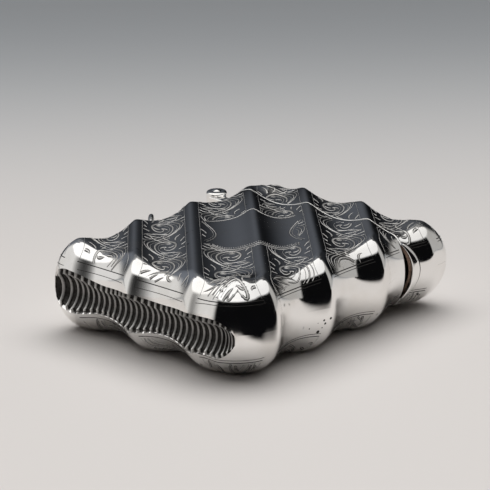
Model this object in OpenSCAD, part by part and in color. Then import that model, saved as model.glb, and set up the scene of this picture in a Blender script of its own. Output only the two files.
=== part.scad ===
// Slant-fluted pocket match case lying on its back: two stamped body halves, a concave file
// striker across one short end, a plain mouth bezel, a hinged end lid and a suspension ring.
// Millimetres. Origin under the middle of the case on the table, lid end +X, hinge edge +Y, Z up.

/* [Case] */
// length of the closed case, striker end to lid end
case_l = 49.6; // [46.4:0.4:52]
// width of the case, front edge to hinge edge
case_w = 39.8; // [37:0.2:44]
// thickness over the rib crests
case_t = 14.6; // [14:0.1:16]
// reach of the side rounding in from the outline
edge_r = 4.2; // [3.8:0.1:4.8]
// squareness of the plan corners that carry a rib
corner_pow = 3.6; // [3:0.2:6]
// reach of the two round corners between ribs, at the striker and at the hinge
round_r = 9.2; // [7.4:0.2:10.4]
// share of the height lost at the two lid corners
lid_droop = 0.22; // [0:0.02:0.24]
// sheet thickness of the stamped shells
wall = 0.6; // [0.45:0.05:0.7]
// striker end to the lid line
lid_at = 39.2; // [38:0.1:40.4]
// half of the hairline between lid and body at the lid line
lid_seam = 0.03; // [0.02:0.01:0.08]

/* [Ribs and flutes] */
// pitch of the slanting ribs along the edges
rib_pitch = 12.4; // [11.4:0.1:13.4]
// outward move of the two rib groups, which widens the field beside the middle rib
rib_spread = 0.8; // [0:0.1:1.2]
// inset at which the front's ribs turn square to the edge
rib_turn = 2.4; // [1.8:0.1:3.2]
// inset at which the back's ribs turn square to the edge
back_turn = 1.1; // [0.6:0.1:2.4]
// softness of the rib crest, as a share of half the pitch
rib_soft = 0.12; // [0.06:0.01:0.25]
// depth of the flutes between the ribs
flute_d = 1.35; // [0.8:0.05:1.45]
// how much of a flute is filled out again at the plan corners
corner_fill = 1; // [0.4:0.05:1]
// reach of that filling from the corner
corner_reach = 9; // [6:0.25:10]
// reach of that filling at the two round corners
round_reach = 10.5; // [8:0.25:12]
// run over which it sets in there
round_run = 5.5; // [3:0.25:7]

/* [Striker] */
// radius of the concave striker channel
strike_r = 2.2; // [2:0.02:2.5]
// channel's centre below the middle of the end
strike_low = 1.35; // [1:0.05:1.6]
// depth of the channel below the rib crests
strike_dip = 2.1; // [1.8:0.05:2.2]
// length of the channel along the end
strike_l = 39.4; // [35:0.2:39.6]
// pitch of the striker's cross grooves
groove_p = 1.15; // [0.9:0.05:1.4]
// depth of a cross groove
groove_d = 0.34; // [0.2:0.02:0.4]
// thickness of the striker strip
strike_t = 0.75; // [0.6:0.05:0.9]
// solder gap behind the strip
strike_gap = 0.02; // [0.01:0.01:0.05]

/* [Mouth bezel] */
// sheet thickness of the bezel
bezel_t = 0.5; // [0.35:0.05:0.7]
// clearance between bezel and lid
bezel_gap = 0.14; // [0.1:0.02:0.24]
// reach of the bezel into the body
bezel_in = 3.2; // [2:0.1:5]
// reach of the bezel into the lid
bezel_out = 1.8; // [1:0.1:2.2]

/* [Lid catch] */
// height of the crescent cut in the lid's front edge
notch_h = 9.2; // [7:0.1:10]
// depth of the crescent cut
notch_d = 1.5; // [0.8:0.1:1.6]
// width of the crescent lip beside the cut
lip_w = 1; // [0.7:0.05:1.3]
// how far the lip stands proud
lip_proud = 0.35; // [0.2:0.05:0.5]

/* [Hinge] */
// hinge axis outside the hinge edge
hinge_out = 1.3; // [1.2:0.05:1.8]
// radius of the hinge barrel
barrel_r = 1.75; // [1.4:0.05:1.8]
// overall length of the hinge barrel
barrel_l = 11; // [9:0.2:12]
// length of the lid's middle knuckle
lid_knuckle_l = 3.6; // [2.6:0.1:4.4]
// gap between knuckles
knuckle_gap = 0.08; // [0.04:0.02:0.16]
// radius of the hinge pin
pin_r = 0.6; // [0.45:0.05:0.75]
// running clearance of the pin in the lid knuckle
pin_run = 0.05; // [0.02:0.01:0.08]
// width of a hinge leaf along the edge
leaf_w = 1.9; // [1.5:0.1:2.4]

/* [Suspension ring] */
// ring lug's place along the hinge edge
lug_x = -2; // [-2.8:0.1:-1.2]
// eye of the lug outside the hinge edge
lug_out = 0.5; // [0.4:0.05:1]
// outer radius of the eye
eye_r = 1.7; // [1.6:0.05:1.9]
// height of the eye
eye_h = 1.3; // [1:0.05:1.5]
// radius of the hole in the eye
eye_hole_r = 0.8; // [0.75:0.05:0.9]
// radius of the lug's round foot
foot_r = 1.5; // [1.2:0.05:1.8]
// centre-line radius of the ring
ring_r = 3.7; // [3.4:0.1:4.2]
// radius of the ring's wire
ring_wire_r = 0.5; // [0.4:0.05:0.55]
// swing of the ring from square to the edge, towards the lid
ring_swing = 47; // [0:1:70]

/* [Hidden] */

half_l = case_l / 2;
half_w = case_w / 2;
half_t = case_t / 2;
lid_x = lid_at - half_l;
flat_x = half_l - edge_r;
flat_y = half_w - edge_r;
hinge_y = half_w + hinge_out;
eye_y = half_w + lug_out;
// grid cell of the fluted faces
cell = rib_pitch / 10;
// rows on the striker channel, rows on an end rounding, columns on a side rounding
rows_strike = 3;
rows_end = 6;
cols_edge = 6;
// radius of the shell behind the striker strip
seat_r = strike_r + strike_t + strike_gap;
// crescent cut: circle through its two horns and its deepest point
notch_r = (notch_h * notch_h / 4 + notch_d * notch_d) / (2 * notch_d);
notch_x = lid_x + notch_d - notch_r;
silver = [0.80, 0.80, 0.79];
dark_silver = [0.45, 0.45, 0.46];

function clamp01(t) = min(1, max(0, t));
function smooth01(t) = let(c = clamp01(t)) c * c * (3 - 2 * c);

// plan corners between ribs start square and are made oval last: squares about the centre of
// such a corner become ovals
function round_corner(q) =
    let(dx = (abs(q[0]) - half_l) / round_r + 1,
        dy = (abs(q[1]) - half_w) / round_r + 1,
        within = dx > 0 && dy > 0 && q[0] * q[1] > 0,
        f = within ? max(dx, dy) / pow(pow(dx, 2.1) + pow(dy, 2.1), 1 / 2.1) : 1)
    within ? [
        sign(q[0]) * (half_l + round_r * (dx * f - 1)),
        sign(q[1]) * (half_w + round_r * (dy * f - 1)),
        q[2]] : q;

// value held at a limit, with a rounded turn of half width w
function soft_limit(v, lim, w) =
    let(a = abs(v), d = a - lim)
    sign(v) * (d < -w ? a : d > w ? lim : lim - (w - d) * (w - d) / (4 * w));

// rib count across the slant: whole numbers on the crests, one wider field before the middle rib
function rib_phase(v) =
    v > rib_spread ? (v - rib_spread) / rib_pitch
    : v < -rib_pitch - rib_spread ? (v + rib_spread) / rib_pitch
    : (v - rib_spread) / (rib_pitch + 2 * rib_spread);

function front_phase(x, y) =
    rib_phase(soft_limit(x, half_l - rib_turn, 1) - soft_limit(y, half_w - rib_turn, 1));

// the back's ribs cross the front's in plan and meet them on all four edges
function back_phase(x, y) =
    let(p = rib_pitch,
        lx = half_l - back_turn,
        ly = half_w - back_turn,
        a = soft_limit(x, lx, 1),
        b = soft_limit(y, ly, 1),
        off = [
            p * front_phase(x, -half_w) - a + ly,
            -p * (1 + front_phase(-half_l, y)) - b + lx,
            p * (5 + front_phase(x, half_w)) - a - ly,
            p * (6 - front_phase(half_l, y)) - b - lx],
        w = [for (d = [b + ly, a + lx, ly - b, lx - a]) 1 / (d * d + 0.5)])
    (a + b + off * w / (w * [1, 1, 1, 1])) / p;

// share of the flute depth at a plan point: 0 on a crest, 1 in the middle of a flute
function flute(x, y, side) =
    let(u = side > 0 ? front_phase(x, y) : back_phase(x, y),
        s = 2 * abs(u - round(u)),
        c = rib_soft,
        t = (sqrt(s * s + c * c) - c) / (sqrt(1 + c * c) - c),
        e = x * y > 0 ? round_reach : corner_reach,
        w = x * y > 0 ? round_run : corner_reach - 1,
        k = smooth01((abs(x) - half_l + e) / w) * smooth01((abs(y) - half_w + e) / w))
    (1 - (1 - t) * (1 - t)) * (1 - corner_fill * k);

// share of the height left at a plan point, less than one towards the lid corners
function height_left(x, y) = 1 - lid_droop * pow(max(0, x) / half_l, 2) * pow(y / half_w, 2);

// point of the fluted cushion: rx, ry give [centre, share of the rounding], inset the skin depth
function skin(rx, ry, inset, side) =
    let(p = corner_pow,
        m = max(abs(rx[1]), abs(ry[1])),
        f = rx[0] * ry[0] > 0 ? 1
            : m > 0 ? 1 / pow(pow(abs(rx[1]) / m, p) + pow(abs(ry[1]) / m, p), 1 / p) : 0,
        ex = rx[1] * f,
        ey = ry[1] * f,
        ez = sqrt(max(0, 1 - m * m)),
        er = edge_r - inset,
        hr = half_t - inset,
        g = m > 0 ? m / er : 0,
        gx = m > 0 ? sign(ex) * pow(abs(ex) / m, p - 1) * g : 0,
        gy = m > 0 ? sign(ey) * pow(abs(ey) / m, p - 1) * g : 0,
        nrm = [gx, gy, ez / hr],
        d = flute_d * flute(rx[0] + edge_r * ex, ry[0] + edge_r * ey, side),
        q = [rx[0] + er * ex, ry[0] + er * ey, hr * ez] - nrm * (d / norm(nrm)))
    [q[0], q[1], q[2] * height_left(q[0], q[1])];

// centre line of the striker channel, which lifts out towards both corners
function strike_axis(y) =
    let(e = max(0, (abs(y) - strike_l / 2 + 7) / 7))
    -half_l - strike_r + strike_dip - (strike_dip + 0.7) * e * e;
// channel's surface at a place along the end and a height from the middle
function strike_x(y, z, r) =
    let(h = z + strike_low)
    r * r > h * h ? strike_axis(y) + sqrt(r * r - h * h) : -2 * case_l;

// angle up the end rounding at which the channel stops cutting, found by halving
function strike_edge(ry, inset, side, lo, hi, n) =
    n == 0 ? min(87, (lo + hi) / 2)
    : let(mid = (lo + hi) / 2, q = skin([-flat_x, -sin(mid)], ry, inset, side))
    strike_x(q[1], side * q[2], seat_r + inset) > q[0] ? strike_edge(ry, inset, side, lo, mid, n - 1)
    : strike_edge(ry, inset, side, mid, hi, n - 1);

function end_skin(rx, ry, inset, side) =
    let(q = skin(rx, ry, inset, side))
    [max(q[0], strike_x(q[1], side * q[2], seat_r + inset)), q[1], q[2]];

// inner grid lines of a flat stretch, on whole cells and clear of its two ends
function lines(lo, hi) =
    [for (k = [ceil((lo + 0.3 * cell) / cell) : floor((hi - 0.3 * cell) / cell)]) k * cell];

columns = concat(
    [for (k = [0 : cols_edge]) [-flat_y, -cos(90 * k / cols_edge)]],
    [for (y = lines(-flat_y, flat_y)) [y, 0]],
    [for (k = [0 : cols_edge]) [flat_y, sin(90 * k / cols_edge)]]);
body_lines = concat(lines(-flat_x, lid_x - lid_seam), [lid_x - lid_seam]);
lid_lines = concat([lid_x + lid_seam], lines(lid_x + lid_seam, flat_x));

// one column of the body's skin: up the channel, over the end rounding, along the flat
function body_column(ry, inset, side) =
    let(a = strike_edge(ry, inset, side, 0, 90, 16), ca = cos(a))
    concat(
        [for (i = [0 : rows_strike - 1])
            end_skin([-flat_x, -sin(acos(ca * i / rows_strike))], ry, inset, side)],
        [for (i = [0 : rows_end])
            end_skin([-flat_x, -sin(a * (1 - i / rows_end))], ry, inset, side)],
        [for (x = body_lines) skin([x, 0], ry, inset, side)]);

// one column of the lid's skin: along the flat, down the end rounding
function lid_column(ry, inset, side) = concat(
    [for (x = lid_lines) skin([x, 0], ry, inset, side)],
    [for (i = [0 : rows_end]) skin([flat_x, sin(90 * i / rows_end)], ry, inset, side)]);

// closed sheet between an outer and an inner grid given by columns; side is +1 up, -1 down
module sheet(outer, inner, side) {
    nc = len(outer);
    nr = len(outer[0]);
    pts = [for (g = [outer, inner], j = [0 : nc - 1], i = [0 : nr - 1])
        let(q = round_corner(g[j][i])) [q[0], q[1], half_t + side * q[2]]];
    n = nc * nr;
    tri = concat(
        [for (j = [0 : nc - 2], i = [0 : nr - 2])
            let(a = j * nr + i, b = a + 1, c = a + nr + 1, d = a + nr)
            each side > 0 ? [[a, c, b], [a, d, c], [n + a, n + b, n + c], [n + a, n + c, n + d]]
            : [[a, d, b], [d, c, b], [n + a, n + b, n + d], [n + d, n + b, n + c]]],
        [for (j = [0 : nc - 2])
            let(a = j * nr, d = a + nr, e = a + nr - 1, h = e + nr)
            each [[d, a, n + a], [d, n + a, n + d], [e, h, n + h], [e, n + h, n + e]]],
        [for (i = [0 : nr - 2])
            let(a = i, b = a + 1, e = (nc - 1) * nr + i, h = e + 1)
            each [[a, b, n + b], [a, n + b, n + a], [h, e, n + e], [h, n + e, n + h]]]);
    polyhedron(points = pts, faces = side > 0 ? tri : [for (t = tri) [t[0], t[2], t[1]]]);
}

module body_half(side) {
    sheet(
        [for (c = columns) body_column(c, 0, side)],
        [for (c = columns) body_column(c, wall, side)],
        side);
}

// half of the lid with its share of the crescent cut
module lid_half(side) {
    difference() {
        sheet(
            [for (c = columns) lid_column(c, 0, side)],
            [for (c = columns) lid_column(c, wall, side)],
            side);
        translate([notch_x, -half_w + 4, half_t])
            rotate([90, 0, 0])
                cylinder(r = notch_r, h = 8, $fn = 96);
    }
}

module body_front_shell() {
    color(silver) body_half(1);
}

module body_back_shell() {
    color(silver) body_half(-1);
}

// end face of the cushion at a place along the end and a height from the middle
function end_face(y, z) =
    let(ey = y > 0 ? clamp01((y - flat_y) / edge_r) : 0, p = corner_pow)
    -half_l + edge_r * (2 - sqrt(1 - pow(z / half_t, 2)) - pow(1 - pow(ey, p), 1 / p))
    + flute_d * flute(-half_l, y, 1);

// reach up or down from its centre at which a channel of radius r meets the end face, by halving
function strip_edge(y, r, side, lo, hi, n) =
    n == 0 ? max(0.25, lo)
    : let(mid = (lo + hi) / 2, z = side * mid - strike_low)
    strike_x(y, z, r) > end_face(y, z) ? strip_edge(y, r, side, mid, hi, n - 1)
    : strip_edge(y, r, side, lo, mid, n - 1);

// serrated concave strip: rows alternate between groove crests and groove floors
module striker_strip() {
    count = floor((strike_l - 1.2) / groove_p);
    nv = 8;
    ys = [for (k = [0 : 2 * count]) (k - count) * groove_p / 2];
    ring = [for (k = [0 : 2 * count])
        let(y = ys[k],
            r1 = strike_r + (k % 2 == 1 ? groove_d : 0),
            r2 = strike_r + strike_t,
            h1 = [for (s = [-1, 1]) strip_edge(y, strike_r, s, 0, strike_r, 14)],
            h2 = [for (s = [0, 1]) max(h1[s] + 0.05, strip_edge(y, r2, 2 * s - 1, 0, r2, 14))],
            a1 = [-asin(h1[0] / r1), asin(h1[1] / r1)],
            a2 = [-asin(h2[0] / r2), asin(h2[1] / r2)])
        concat(
            [for (i = [0 : nv - 1]) let(a = a1[0] + (a1[1] - a1[0]) * i / (nv - 1))
                [strike_axis(y) + r1 * cos(a), y, half_t - strike_low + r1 * sin(a)]],
            [for (i = [nv - 1 : -1 : 0]) let(a = a2[0] + (a2[1] - a2[0]) * i / (nv - 1))
                [strike_axis(y) + r2 * cos(a), y, half_t - strike_low + r2 * sin(a)]])];
    m = 2 * nv;
    last = len(ring) - 1;
    tri = concat(
        [for (k = [0 : last - 1], i = [0 : m - 1])
            let(a = k * m + i, b = k * m + (i + 1) % m, c = b + m, d = a + m)
            each [[a, b, c], [a, c, d]]],
        [for (i = [0 : nv - 2])
            each [[i, m - 1 - i, m - 2 - i], [i, m - 2 - i, i + 1]]],
        [for (i = [0 : nv - 2]) let(o = last * m)
            each [[o + i, o + m - 2 - i, o + m - 1 - i], [o + i, o + i + 1, o + m - 2 - i]]]);
    color(dark_silver) polyhedron(points = [for (r = ring, q = r) round_corner(q)], faces = tri);
}

// outline of the bezel: flat faces with half-elliptic ends, set in by t
function bezel_outline(t) =
    let(ew = edge_r - wall - flute_d - 2 * bezel_gap - t,
        eh = (half_t - wall) * height_left(lid_x + bezel_out, flat_y) - flute_d - bezel_gap - t)
    concat(
        [for (k = [0 : 24]) let(a = -90 + 180 * k / 24) [flat_y + ew * cos(a), eh * sin(a)]],
        [for (k = [0 : 24]) let(a = 90 + 180 * k / 24) [-flat_y + ew * cos(a), eh * sin(a)]]);

module mouth_bezel() {
    color(silver)
        translate([lid_x - bezel_in, 0, half_t])
            rotate([90, 0, 90])
                linear_extrude(height = bezel_in + bezel_out)
                    difference() {
                        polygon(bezel_outline(0));
                        polygon(bezel_outline(bezel_t));
                    }
}

module lid_front_shell() {
    color(silver) lid_half(1);
}

module lid_back_shell() {
    color(silver) lid_half(-1);
}

// front face of the case at a place along it and a height from the middle
function front_face(x, z) =
    let(h = half_t * height_left(x, half_w))
    -half_w + edge_r * (1 - sqrt(1 - pow(z / h, 2))) + flute_d * flute(x, -half_w, 1);

// crescent lip along the cut in the lid's front edge
module lid_thumb_lip() {
    n = 24;
    reach = asin(0.94 * notch_h / 2 / notch_r);
    ring = [for (k = [0 : n])
        let(a = reach * (2 * k / n - 1),
            w = lip_w * (0.25 + 0.75 * cos(90 * a / reach)),
            p = lip_proud * (0.3 + 0.7 * cos(90 * a / reach)))
        [for (q = [[0, 0.3], [0, -0.7 * p], [0.2, -p], [0.6, -p], [1, -0.3 * p], [1, 0.3]])
            let(r = notch_r + q[0] * w, x = notch_x + r * cos(a), z = r * sin(a))
            [x, front_face(x, z) + q[1], half_t + z]]];
    m = 6;
    tri = concat(
        [for (k = [0 : n - 1], i = [0 : m - 1])
            let(a = k * m + i, b = k * m + (i + 1) % m, c = b + m, d = a + m)
            each [[a, c, b], [a, d, c]]],
        [[for (i = [0 : m - 1]) i]],
        [[for (i = [m - 1 : -1 : 0]) n * m + i]]);
    color(silver) polyhedron(points = [for (r = ring) each r], faces = tri);
}

// barrel piece between two heights from the middle, with rounded ends of radius e1 and e2
module knuckle(z1, z2, e1, e2) {
    translate([lid_x, hinge_y, half_t])
        rotate_extrude($fn = 64)
            polygon(concat(
                [[0, z1]],
                [for (k = [0 : 6]) let(a = 90 * k / 6)
                    [barrel_r - e1 + e1 * sin(a), z1 + e1 - e1 * cos(a)]],
                [for (k = [0 : 6]) let(a = 90 * k / 6)
                    [barrel_r - e2 + e2 * cos(a), z2 - e2 + e2 * sin(a)]],
                [[0, z2]]));
}

// leaf from the barrel back into the shell; side is -1 for the body and +1 for the lid
module leaf(side, z1, z2) {
    near = lid_seam + 0.12;
    y1 = half_w - flute_d * flute(lid_x + side * (near + leaf_w / 2), half_w, 1) - 0.4;
    translate([side > 0 ? lid_x + near : lid_x - near - leaf_w, y1, half_t + z1])
        cube([leaf_w, hinge_y - 0.3 - y1, z2 - z1]);
}

module pin_hole(r) {
    translate([lid_x, hinge_y, -1])
        cylinder(r = r, h = case_t + 2, $fn = 48);
}

module body_knuckle(side) {
    z1 = lid_knuckle_l / 2 + knuckle_gap;
    z2 = barrel_l / 2;
    color(silver)
        difference() {
            union() {
                if (side > 0) {
                    knuckle(z1, z2, 0.12, 0.5);
                    leaf(-1, z1 + 0.1, z2 - 0.6);
                } else {
                    knuckle(-z2, -z1, 0.5, 0.12);
                    leaf(-1, -z2 + 0.6, -z1 - 0.1);
                }
            }
            pin_hole(pin_r + 0.01);
        }
}

module body_knuckle_front() {
    body_knuckle(1);
}

module body_knuckle_back() {
    body_knuckle(-1);
}

module lid_knuckle() {
    color(silver)
        difference() {
            union() {
                knuckle(-lid_knuckle_l / 2, lid_knuckle_l / 2, 0.12, 0.12);
                leaf(1, 0.1 - lid_knuckle_l / 2, lid_knuckle_l / 2 - 0.1);
            }
            pin_hole(pin_r + pin_run);
        }
}

// pin with low riveted heads outside the barrel ends
module hinge_pin() {
    h = barrel_l / 2;
    color(silver)
        translate([lid_x, hinge_y, half_t])
            rotate_extrude($fn = 48)
                polygon([[0, -h - 0.3], [0.6 * pin_r, -h - 0.27], [pin_r + 0.2, -h - 0.02],
                    [pin_r, -h - 0.02], [pin_r, h + 0.02], [pin_r + 0.2, h + 0.02],
                    [0.6 * pin_r, h + 0.27], [0, h + 0.3]]);
}

// eye with an upright hole, on a round foot soldered in the flute
module suspension_lug() {
    seat = half_w - flute_d * flute(lug_x, half_w, 1);
    color(silver)
        difference() {
            union() {
                translate([lug_x, eye_y, half_t - eye_h / 2])
                    cylinder(r = eye_r, h = eye_h, $fn = 48);
                translate([lug_x, seat - 0.4, half_t])
                    rotate([-90, 0, 0])
                        cylinder(r = foot_r, h = 0.75, $fn = 48);
            }
            translate([lug_x, eye_y, half_t - 3])
                cylinder(r = eye_hole_r, h = 6, $fn = 48);
        }
}

// ring through the eye, standing in an upright plane
module suspension_ring() {
    color(silver)
        translate([lug_x + ring_r * sin(ring_swing), eye_y + ring_r * cos(ring_swing), half_t])
            rotate([90, 0, 90 - ring_swing])
                rotate_extrude($fn = 96)
                    translate([ring_r, 0])
                        circle(r = ring_wire_r, $fn = 32);
}

body_front_shell();
body_back_shell();
striker_strip();
mouth_bezel();
lid_front_shell();
lid_back_shell();
lid_thumb_lip();
body_knuckle_front();
body_knuckle_back();
lid_knuckle();
hinge_pin();
suspension_lug();
suspension_ring();
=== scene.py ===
import math
import bpy
import numpy as np
from mathutils import Matrix


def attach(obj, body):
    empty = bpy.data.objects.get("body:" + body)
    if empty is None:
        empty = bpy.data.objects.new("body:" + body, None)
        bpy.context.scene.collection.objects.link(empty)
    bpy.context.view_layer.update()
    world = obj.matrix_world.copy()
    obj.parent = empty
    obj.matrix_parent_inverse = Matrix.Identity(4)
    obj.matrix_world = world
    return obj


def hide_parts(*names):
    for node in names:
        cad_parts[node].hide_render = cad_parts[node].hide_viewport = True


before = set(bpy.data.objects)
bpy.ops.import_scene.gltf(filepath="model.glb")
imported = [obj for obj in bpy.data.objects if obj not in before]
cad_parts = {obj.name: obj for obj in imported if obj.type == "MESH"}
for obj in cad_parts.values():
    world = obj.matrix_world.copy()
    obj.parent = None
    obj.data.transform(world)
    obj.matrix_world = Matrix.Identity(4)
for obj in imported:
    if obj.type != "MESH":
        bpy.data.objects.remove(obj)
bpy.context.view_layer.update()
mm = 0.001
tiny = 1e-9
scene = bpy.context.scene

# sizes of the fluted case, in millimetres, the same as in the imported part
case = dict(length=49.6, width=39.8, thick=14.6, edge=4.2, cornerPow=3.6, lidDroop=0.22, wall=0.6,
            lidAt=39.2, seam=0.03, pitch=12.4, spread=0.8, frontTurn=2.4, backTurn=1.1, backBlend=0.5,
            crestSoft=0.12, fluteDepth=1.35, cornerReach=9.0, cornerRun=8.0, roundReach=10.5, roundRun=5.5,
            roundR=9.2, roundPow=2.1)
halfL, halfW, halfT = case["length"] / 2, case["width"] / 2, case["thick"] / 2
flatX, flatY = halfL - case["edge"], halfW - case["edge"]
lidX = case["lidAt"] - halfL


class Wire:
    # one socket of a node tree; arithmetic on it adds Math nodes
    def __init__(self, socket):
        self.socket = socket
        self.tree = socket.id_data

    @staticmethod
    def node(tree, kind, settings=None, values=None, out=0):
        made = tree.nodes.new(kind)
        for key, value in (settings or {}).items():
            if key == "stops":
                ramp = made.color_ramp.elements
                while len(ramp) < len(value):
                    ramp.new(0.5)
                for stop, (place, colour) in zip(ramp, value):
                    stop.position = place
                    stop.color = (*colour, 1)
            else:
                setattr(made, key, value)
        for key, value in (values or {}).items():
            if isinstance(value, Wire):
                tree.links.new(value.socket, made.inputs[key])
            else:
                made.inputs[key].default_value = value
        return Wire(made.outputs[out]) if len(made.outputs) else made

    def math(self, operation, *others):
        values = {0: self}
        values.update({k + 1: other for k, other in enumerate(others)})
        return Wire.node(self.tree, "ShaderNodeMath", {"operation": operation}, values)

    def reflected(self, operation, other):
        return Wire.node(self.tree, "ShaderNodeMath", {"operation": operation}, {0: other, 1: self})

    def __add__(self, other):
        return self.math("ADD", other)

    __radd__ = __add__

    def __sub__(self, other):
        return self.math("SUBTRACT", other)

    def __rsub__(self, other):
        return self.reflected("SUBTRACT", other)

    def __mul__(self, other):
        return self.math("MULTIPLY", other)

    __rmul__ = __mul__

    def __truediv__(self, other):
        return self.math("DIVIDE", other)

    def __rtruediv__(self, other):
        return self.reflected("DIVIDE", other)

    def step(self, low, high):
        # smooth step from 0 at low to 1 at high
        return Wire.node(self.tree, "ShaderNodeMapRange", {"interpolation_type": "SMOOTHSTEP"},
                         {"Value": self, "From Min": low, "From Max": high})

    def dot(self, vector):
        return Wire.node(self.tree, "ShaderNodeVectorMath", {"operation": "DOT_PRODUCT"},
                         {0: self, 1: vector}, out="Value")

    def mix(self, first, second):
        # colour mix with this socket as the factor
        return Wire.node(self.tree, "ShaderNodeMix", {"data_type": "RGBA"},
                         {"Factor": self, 6: Wire.colour(first), 7: Wire.colour(second)}, out=2)

    def tinted(self, tint):
        # a colour whose channels are this value times the tint's
        return Wire.node(self.tree, "ShaderNodeCombineColor", None, {k: self * t for k, t in enumerate(tint)})

    @staticmethod
    def colour(value):
        return value if isinstance(value, Wire) else (*value, 1)


def roundCorner(q):
    # the two plan corners between ribs: squares about the corner's centre become ovals
    r, p = case["roundR"], case["roundPow"]
    dx = (np.abs(q[..., 0]) - halfL) / r + 1
    dy = (np.abs(q[..., 1]) - halfW) / r + 1
    within = (dx > 0) & (dy > 0) & (q[..., 0] * q[..., 1] > 0)
    a, b = np.where(within, dx, 1), np.where(within, dy, 1)
    f = np.maximum(a, b) / (a ** p + b ** p) ** (1 / p)
    x = np.where(within, np.sign(q[..., 0]) * (halfL + r * (a * f - 1)), q[..., 0])
    y = np.where(within, np.sign(q[..., 1]) * (halfW + r * (b * f - 1)), q[..., 1])
    return np.stack([x, y, q[..., 2]], -1)


def softLimit(v, limit, w=1.0):
    # held at the limit, with a rounded turn of half width w
    a = np.abs(v)
    d = a - limit
    return np.sign(v) * np.where(d < -w, a, np.where(d > w, limit, limit - (w - d) ** 2 / (4 * w)))


def smooth01(t):
    c = np.clip(t, 0, 1)
    return c * c * (3 - 2 * c)


def halving(isBelow, low, high, rounds):
    # middle of what is left after halving, for whole arrays; isBelow says where the answer is higher
    for _ in range(rounds):
        mid = (low + high) / 2
        below = isBelow(mid)
        low, high = np.where(below, mid, low), np.where(below, high, mid)
    return (low + high) / 2


def ribPhase(v):
    # rib count across the slant: whole numbers on the crests, one wider field before the middle rib
    s, p = case["spread"], case["pitch"]
    return np.where(v > s, (v - s) / p, np.where(v < -p - s, (v + s) / p, (v - s) / (p + 2 * s)))


def frontPhase(x, y):
    t = case["frontTurn"]
    return ribPhase(softLimit(x, halfL - t) - softLimit(y, halfW - t))


def backPhase(x, y):
    # the back's ribs cross the front's in plan; four edge offsets, weighted by nearness, make them meet,
    # and at each edge the two counts are a whole number of ribs apart
    p = case["pitch"]
    lx, ly = halfL - case["backTurn"], halfW - case["backTurn"]
    a, b = softLimit(x, lx), softLimit(y, ly)
    offsets = [p * frontPhase(x, -halfW) - a + ly, -p * (1 + frontPhase(-halfL, y)) - b + lx,
               p * (5 + frontPhase(x, halfW)) - a - ly, p * (6 - frontPhase(halfL, y)) - b - lx]
    weights = [1 / (d * d + case["backBlend"]) for d in (b + ly, a + lx, ly - b, lx - a)]
    return (a + b + sum(o * w for o, w in zip(offsets, weights)) / sum(weights)) / p


def phaseOf(x, y, side):
    return frontPhase(x, y) if side > 0 else backPhase(x, y)


def flute(x, y, side):
    # share of the flute depth: 0 on a crest, 1 in the middle of a flute, filled out at the plan corners
    u = phaseOf(x, y, side)
    s, c = 2 * np.abs(u - np.round(u)), case["crestSoft"]
    e = np.where(x * y > 0, case["roundReach"], case["cornerReach"])
    w = np.where(x * y > 0, case["roundRun"], case["cornerRun"])
    t = (np.sqrt(s * s + c * c) - c) / (np.sqrt(1 + c * c) - c)
    k = smooth01((np.abs(x) - halfL + e) / w) * smooth01((np.abs(y) - halfW + e) / w)
    return (1 - (1 - t) ** 2) * (1 - k)


def heightLeft(x, y):
    # share of the thickness left where the lid's corners droop
    return 1 - case["lidDroop"] * (np.maximum(0, x) / halfL) ** 2 * (y / halfW) ** 2


def skin(cx, sx, cy, sy, inset, side):
    # cushion: a flat field with elliptic roundings, superellipse corners in plan, and the flutes
    # pressed in along the normal; c is the rounding's centre and s the share of the rounding
    cx, sx, cy, sy = np.broadcast_arrays(cx, sx, cy, sy)
    p = case["cornerPow"]
    m = np.maximum(np.abs(sx), np.abs(sy))
    safe = np.maximum(m, tiny)
    corner = (np.abs(sx) / safe) ** p + (np.abs(sy) / safe) ** p + (m <= 0)
    f = np.where((m > 0) & (cx * cy <= 0), corner ** (-1 / p), 1)
    ex, ey, ez = sx * f, sy * f, np.sqrt(np.maximum(0, 1 - m * m))
    er, hr = case["edge"] - inset, halfT - inset
    level = [np.sign(e) * (np.abs(e) / safe) ** (p - 1) * m / er for e in (ex, ey)]
    normal = np.stack([*level, ez / hr], -1)
    normal /= np.linalg.norm(normal, axis=-1, keepdims=True)
    d = case["fluteDepth"] * flute(cx + case["edge"] * ex, cy + case["edge"] * ey, side)
    q = np.stack([cx + er * ex, cy + er * ey, hr * ez], -1) - normal * d[..., None]
    q[..., 2] *= heightLeft(q[..., 0], q[..., 1])
    return q


def makePiece(name, points, faceSets, finish, body, nodes=(), smooth=True, sharp=38):
    sizes = np.concatenate([np.full(len(f), f.shape[1]) for f in faceSets])
    corners = np.concatenate([f.ravel() for f in faceSets]).astype(np.int32)
    starts = np.concatenate([[0], np.cumsum(sizes)[:-1]]).astype(np.int32)
    mesh = bpy.data.meshes.new(name)
    mesh.vertices.add(len(points))
    mesh.vertices.foreach_set("co", (np.asarray(points) * mm).astype(np.float32).ravel())
    mesh.loops.add(len(corners))
    mesh.loops.foreach_set("vertex_index", corners)
    mesh.polygons.add(len(sizes))
    mesh.polygons.foreach_set("loop_start", starts)
    mesh.update(calc_edges=True)
    mesh.validate()
    mesh.polygons.foreach_set("use_smooth", np.full(len(mesh.polygons), smooth))
    if smooth:
        mesh.set_sharp_from_angle(angle=math.radians(sharp))
    mesh.materials.append(finish)
    piece = bpy.data.objects.new(name, mesh)
    scene.collection.objects.link(piece)
    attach(piece, body)
    if nodes:
        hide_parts(*nodes)
    print("made", name, len(points), "points")
    return piece


def moreFinishes(piece, chosen, *finishes):
    # further finishes, and the number of the finish for each face
    for finish in finishes:
        piece.data.materials.append(finish)
    piece.data.polygons.foreach_set("material_index", np.asarray(chosen).astype(np.int32))


def numbered(points):
    # the number of each point of a grid, in the grid's own shape
    return np.arange(points.size // 3).reshape(points.shape[:-1])


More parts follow.
